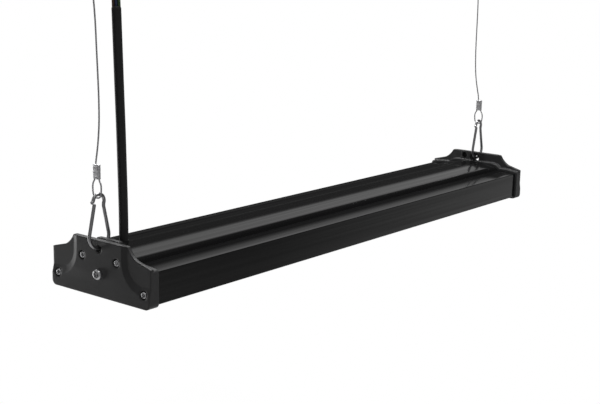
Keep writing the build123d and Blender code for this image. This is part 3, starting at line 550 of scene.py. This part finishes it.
def finishMaterial(name, f):
    # one surface: colour and roughness drift with the group's patches, its fine relief makes the bump, and on
    # the housing it also varies the clear coat, which is lowered in the valleys as painted shade
    mat = bpy.data.materials.new(name)
    mat.use_nodes = True
    tree = mat.node_tree
    bsdf = next(n for n in tree.nodes if n.type == "BSDF_PRINCIPLED")
    texture = tree.nodes.new("ShaderNodeGroup")
    texture.node_tree = groups[f.get("group", "grain")]
    texture.inputs["Fine"].default_value = f["fine"]
    texture.inputs["Patch"].default_value = f["patch"]
    colour = tree.nodes.new("ShaderNodeMix")
    colour.data_type = "RGBA"
    colour.inputs[6].default_value = (*f["dark"], 1)
    colour.inputs[7].default_value = (*f["light"], 1)
    tree.links.new(texture.outputs["Patches"], colour.inputs[0])
    tree.links.new(colour.outputs[2], bsdf.inputs["Base Color"])
    rough = tree.nodes.new("ShaderNodeMapRange")
    rough.inputs["To Min"].default_value, rough.inputs["To Max"].default_value = f["rough"]
    tree.links.new(texture.outputs["Patches"], rough.inputs["Value"])
    tree.links.new(rough.outputs["Result"], bsdf.inputs["Roughness"])
    relief = tree.nodes.new("ShaderNodeBump")
    if "edge" in f:
        soft = tree.nodes.new("ShaderNodeBevel")
        soft.samples = shading["edgeSamples"]
        soft.inputs["Radius"].default_value = f["edge"] * mm
        tree.links.new(soft.outputs["Normal"], relief.inputs["Normal"])
    relief.inputs["Strength"].default_value = f["bump"]
    relief.inputs["Distance"].default_value = shading["reliefDepth"] * mm
    tree.links.new(texture.outputs["Height"], relief.inputs["Height"])
    tree.links.new(relief.outputs["Normal"], bsdf.inputs["Normal"])
    bsdf.inputs["Metallic"].default_value = f.get("metallic", 0.0)
    bsdf.inputs["Specular IOR Level"].default_value = f.get("specular", 0.5)
    if "sheen" in f:
        lines = tree.nodes.new("ShaderNodeMapRange")
        lines.inputs["From Min"].default_value, lines.inputs["From Max"].default_value = shading["lineSpan"]
        lines.inputs["To Min"].default_value, lines.inputs["To Max"].default_value = f["sheen"]
        tree.links.new(texture.outputs["Height"], lines.inputs["Value"])
        # the coat's weight: the drawn lines times the painted valley shade
        shadedCoat = tree.nodes.new("ShaderNodeMath")
        shadedCoat.operation = "MULTIPLY"
        tree.links.new(lines.outputs["Result"], shadedCoat.inputs[0])
        tree.links.new(valleyPaintedShade(tree, f["valley"]), shadedCoat.inputs[1])
        tree.links.new(shadedCoat.outputs["Value"], bsdf.inputs["Coat Weight"])
        bsdf.inputs["Coat Roughness"].default_value = f["coatRough"]
        bsdf.inputs["Coat IOR"].default_value = f["coatIor"]
    return mat


def greys(dark, light):
    tint = shading["blueTint"]
    return {"dark": (dark, dark, dark * tint), "light": (light, light, light * tint)}


finishes = {
    "housing_black": {"group": "drawn", "fine": 420.0, "patch": 9.0, **greys(0.004, 0.007),
                      "rough": (0.11, 0.15), "bump": 0.02, "specular": 0.0, "sheen": (0.72, 1.0),
                      "coatRough": 0.13, "coatIor": 1.55,
                      # valley: where the coat is lowered as painted shade, in mm across the housing
                      "valley": {"inner": (31.0, 34.5), "outer": (40.0, 50.0), "kept": 0.12}},
    "cap_black": {"fine": 2600.0, "patch": 30.0, **greys(0.038, 0.046), "rough": (0.36, 0.46), "bump": 0.2,
                  "edge": 1.8},
    "seal_rubber": {"fine": 1800.0, "patch": 60.0, **greys(0.010, 0.016), "rough": (0.6, 0.75), "bump": 0.2,
                    "specular": 0.3},
    "screw_steel": {"fine": 1600.0, "patch": 220.0, **greys(0.55, 0.70), "rough": (0.2, 0.32), "bump": 0.06,
                    "metallic": 1.0},
    "hook_steel": {"fine": 1500.0, "patch": 120.0, **greys(0.36, 0.48), "rough": (0.24, 0.34), "bump": 0.06,
                   "metallic": 1.0},
    "rope_steel": {"fine": 2500.0, "patch": 200.0, **greys(0.58, 0.72), "rough": (0.36, 0.48), "bump": 0.08,
                   "metallic": 1.0},
    "ferrule_metal": {"fine": 1800.0, "patch": 150.0, **greys(0.80, 0.90), "rough": (0.42, 0.52), "bump": 0.08,
                      "metallic": 1.0},
    "board_white": {"fine": 1200.0, "patch": 40.0, "dark": (0.80, 0.80, 0.78), "light": (0.88, 0.88, 0.86),
                    "rough": (0.3, 0.4), "bump": 0.05},
    "emitter_yellow": {"fine": 2600.0, "patch": 300.0, "dark": (0.85, 0.62, 0.16), "light": (0.95, 0.76, 0.28),
                       "rough": (0.35, 0.5), "bump": 0.1},
    "diffuser_frost": {"fine": 2200.0, "patch": 12.0, "dark": (0.80, 0.81, 0.82), "light": (0.86, 0.87, 0.88),
                       "rough": (0.45, 0.55), "bump": 0.12},
    "driver_metal": {"group": "drawn", "fine": 1200.0, "patch": 30.0, **greys(0.60, 0.70),
                     "rough": (0.32, 0.44), "bump": 0.08, "metallic": 1.0},
    "board_green": {"fine": 1400.0, "patch": 90.0, "dark": (0.03, 0.16, 0.06), "light": (0.05, 0.22, 0.09),
                    "rough": (0.3, 0.42), "bump": 0.08},
    "coil_tape": {"fine": 900.0, "patch": 120.0, "dark": (0.50, 0.38, 0.08), "light": (0.62, 0.48, 0.13),
                  "rough": (0.35, 0.5), "bump": 0.1},
    "can_black": {"fine": 1500.0, "patch": 100.0, "dark": (0.02, 0.025, 0.05), "light": (0.03, 0.04, 0.07),
                  "rough": (0.25, 0.35), "bump": 0.05},
    "terminal_plastic": {"fine": 1600.0, "patch": 90.0, "dark": (0.68, 0.68, 0.64), "light": (0.76, 0.76, 0.72),
                         "rough": (0.4, 0.55), "bump": 0.1},
    "terminal_brass": {"fine": 1800.0, "patch": 200.0, "dark": (0.62, 0.45, 0.18), "light": (0.74, 0.56, 0.25),
                       "rough": (0.25, 0.4), "bump": 0.08, "metallic": 1.0},
    "cable_black": {"fine": 1400.0, "patch": 60.0, **greys(0.009, 0.014), "rough": (0.38, 0.5), "bump": 0.12,
                    "specular": 0.45},
    "core_brown": {"fine": 1500.0, "patch": 150.0, "dark": (0.06, 0.028, 0.016), "light": (0.08, 0.04, 0.022),
                   "rough": (0.35, 0.45), "bump": 0.08},
    "core_blue": {"fine": 1500.0, "patch": 150.0, "dark": (0.018, 0.03, 0.08), "light": (0.026, 0.042, 0.11),
                  "rough": (0.35, 0.45), "bump": 0.08},
    "core_green": {"fine": 1500.0, "patch": 150.0, "dark": (0.03, 0.07, 0.02), "light": (0.05, 0.10, 0.03),
                   "rough": (0.35, 0.45), "bump": 0.08},
    "tip_metal": {"fine": 2500.0, "patch": 300.0, **greys(0.62, 0.76), "rough": (0.25, 0.38), "bump": 0.08,
                  "metallic": 1.0},
}
materials = {name: finishMaterial(name, f) for name, f in finishes.items()}
slotOfNode = {p["node"]: p["material_slot"] for p in frame["record"]["subparts"]}
for obj in [o for o in bpy.data.objects if o.type == "MESH"]:
    obj.data.materials.clear()
    obj.data.materials.append(materials[obj["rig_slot"] if "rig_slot" in obj else slotOfNode[obj.name]])
print("finishes applied")

# studio: soft light from the left, above and over the camera, a long glow behind, dark curtains at either end
studio = {"floorDrop": 1.5, "floorSize": 5.0, "floorColour": 0.80, "floorWhite": 1.06, "floorShare": 0.92,
          "room": 0.22, "dark": 0.012, "glossyShare": 0.01, "least": 0.001,
          "backGlow": {"level": 0.58, "rise": (0.44, 0.80), "fall": (0.95, 2.3)},
          "sideGlow": {"level": 0.55, "rise": (0.7, 2.1), "fall": (-0.05, 0.15), "side": (-0.3, -0.1)},
          "curtains": [{"towards": (0.953, 0.095, 0.286), "edge": (0.45, 0.70)},
                       {"towards": (-0.80, 0.57, -0.20), "edge": (0.62, 0.86)}],
          "lamps": {"key": {"at": (-0.6, 1.9, -0.5), "size": (1.4, 0.9), "power": 7.0},
                    "overhead": {"at": (0.3, 0.0, 1.9), "size": (0.9, 0.9), "power": 36.0},
                    "upperLeft": {"at": (0.3, 1.25, 1.5), "size": (0.9, 0.9), "power": 24.0},
                    "front": {"at": (-0.9, -0.5, 1.7), "size": (0.8, 0.8), "power": 3.0},
                    "strip": {"at": (2.45, 1.95, 0.36), "size": (2.6, 0.1), "power": 0.06}}}


def aimedLamp(name, l):
    # a soft rectangle of light that looks at the middle of the object
    data = bpy.data.lights.new(name, "AREA")
    data.shape = "RECTANGLE"
    data.size, data.size_y = l["size"]
    data.energy = l["power"]
    lamp = bpy.data.objects.new(name, data)
    bpy.context.scene.collection.objects.link(lamp)
    back = np.array(l["at"]) / np.linalg.norm(l["at"])
    right = np.cross([0, 0, 1.0], back)
    right /= np.linalg.norm(right)
    pose = np.eye(4)
    pose[:3, 0], pose[:3, 1], pose[:3, 2], pose[:3, 3] = right, np.cross(back, right), back, l["at"]
    lamp.matrix_world = Matrix(pose.tolist())


def whiteShare(tree, s, share):
    # white for the camera and through clear things, and a little of it in reflections
    path = tree.nodes.new("ShaderNodeLightPath")
    little, total = tree.nodes.new("ShaderNodeMath"), tree.nodes.new("ShaderNodeMath")
    little.operation = total.operation = "MULTIPLY_ADD"
    little.inputs[1].default_value, total.inputs[1].default_value = s["glossyShare"], share
    total.use_clamp = True
    tree.links.new(path.outputs["Is Glossy Ray"], little.inputs[0])
    tree.links.new(path.outputs["Is Transmission Ray"], little.inputs[2])
    tree.links.new(path.outputs["Is Camera Ray"], total.inputs[0])
    tree.links.new(little.outputs["Value"], total.inputs[2])
    return total.outputs["Value"]


def studioWorld(s):
    # the room's level, dimmed towards each curtain; a glow behind in the band of directions where height over
    # sideways lies between its rise and its fall, so that it lies along the whole housing; and a low glow
    # beside it that grows with forward over sideways
    world = bpy.data.worlds.new("studio")
    bpy.context.scene.world = world
    world.use_nodes = True
    tree = world.node_tree
    tree.nodes.clear()

    def ramp(value, span, ends):
        node = tree.nodes.new("ShaderNodeMapRange")
        node.interpolation_type = "SMOOTHSTEP"
        node.inputs["From Min"].default_value, node.inputs["From Max"].default_value = span
        node.inputs["To Min"].default_value, node.inputs["To Max"].default_value = ends
        tree.links.new(value, node.inputs["Value"])
        return node.outputs["Result"]

    def pair(operation, first, second):
        node = tree.nodes.new("ShaderNodeMath")
        node.operation = operation
        for socket, value in zip(node.inputs, (first, second)):
            if isinstance(value, float):
                socket.default_value = value
            else:
                tree.links.new(value, socket)
        return node.outputs["Value"]

    out = tree.nodes.new("ShaderNodeOutputWorld")
    white, room = tree.nodes.new("ShaderNodeBackground"), tree.nodes.new("ShaderNodeBackground")
    white.inputs["Color"].default_value = (1, 1, 1, 1)
    coord = tree.nodes.new("ShaderNodeTexCoord")
    levels = []
    for curtain in s["curtains"]:
        facing = tree.nodes.new("ShaderNodeVectorMath")
        facing.operation = "DOT_PRODUCT"
        facing.inputs[1].default_value = curtain["towards"]
        tree.links.new(coord.outputs["Generated"], facing.inputs[0])
        levels.append(ramp(facing.outputs["Value"], curtain["edge"], (s["room"], s["dark"])))
    parts = tree.nodes.new("ShaderNodeSeparateXYZ")
    tree.links.new(coord.outputs["Generated"], parts.inputs["Vector"])
    behind, beside = s["backGlow"], s["sideGlow"]
    lift = pair("DIVIDE", parts.outputs["Z"], pair("MAXIMUM", parts.outputs["Y"], s["least"]))
    backGlow = pair("MULTIPLY", ramp(lift, behind["rise"], (0.0, behind["level"])),
                    ramp(lift, behind["fall"], (1.0, 0.0)))
    towardsFront = pair("MAXIMUM", pair("MULTIPLY", parts.outputs["Y"], -1.0), s["least"])
    reach = pair("DIVIDE", parts.outputs["X"], towardsFront)
    low = pair("MULTIPLY", ramp(parts.outputs["Y"], beside["side"], (1.0, 0.0)),
               ramp(parts.outputs["Z"], beside["fall"], (1.0, 0.0)))
    sideGlow = pair("MULTIPLY", ramp(reach, beside["rise"], (0.0, beside["level"])), low)
    level = pair("MAXIMUM", pair("MINIMUM", levels[0], levels[1]), pair("MAXIMUM", backGlow, sideGlow))
    tree.links.new(level, room.inputs["Color"])
    mix = tree.nodes.new("ShaderNodeMixShader")
    tree.links.new(whiteShare(tree, s, 1.0), mix.inputs["Fac"])
    tree.links.new(room.outputs["Background"], mix.inputs[1])
    tree.links.new(white.outputs["Background"], mix.inputs[2])
    tree.links.new(mix.outputs["Shader"], out.inputs["Surface"])


def studioFloor(s):
    # a pale square below the object, white for the camera but for the object's shadow
    h, z = s["floorSize"] / 2, float(cadBox[0][2]) - s["floorDrop"]
    mesh = bpy.data.meshes.new("studioFloor")
    mesh.from_pydata([(-h, -h, z), (h, -h, z), (h, h, z), (-h, h, z)], [], [(0, 1, 2, 3)])
    floor = bpy.data.objects.new("studioFloor", mesh)
    bpy.context.scene.collection.objects.link(floor)
    mat = bpy.data.materials.new("paleFloor")
    mat.use_nodes = True
    tree = mat.node_tree
    tree.nodes.clear()
    out = tree.nodes.new("ShaderNodeOutputMaterial")
    plain, white = tree.nodes.new("ShaderNodeBsdfDiffuse"), tree.nodes.new("ShaderNodeEmission")
    plain.inputs["Color"].default_value = (s["floorColour"],) * 3 + (1,)
    white.inputs["Color"].default_value = (1, 1, 1, 1)
    white.inputs["Strength"].default_value = s["floorWhite"]
    mix = tree.nodes.new("ShaderNodeMixShader")
    tree.links.new(whiteShare(tree, s, s["floorShare"]), mix.inputs["Fac"])
    tree.links.new(plain.outputs["BSDF"], mix.inputs[1])
    tree.links.new(white.outputs["Emission"], mix.inputs[2])
    tree.links.new(mix.outputs["Shader"], out.inputs["Surface"])
    floor.data.materials.append(mat)


studioFloor(studio)
studioWorld(studio)
for name, settings in studio["lamps"].items():
    aimedLamp(name, settings)
bpy.context.scene.view_settings.view_transform = "Standard"
print("studio lit")
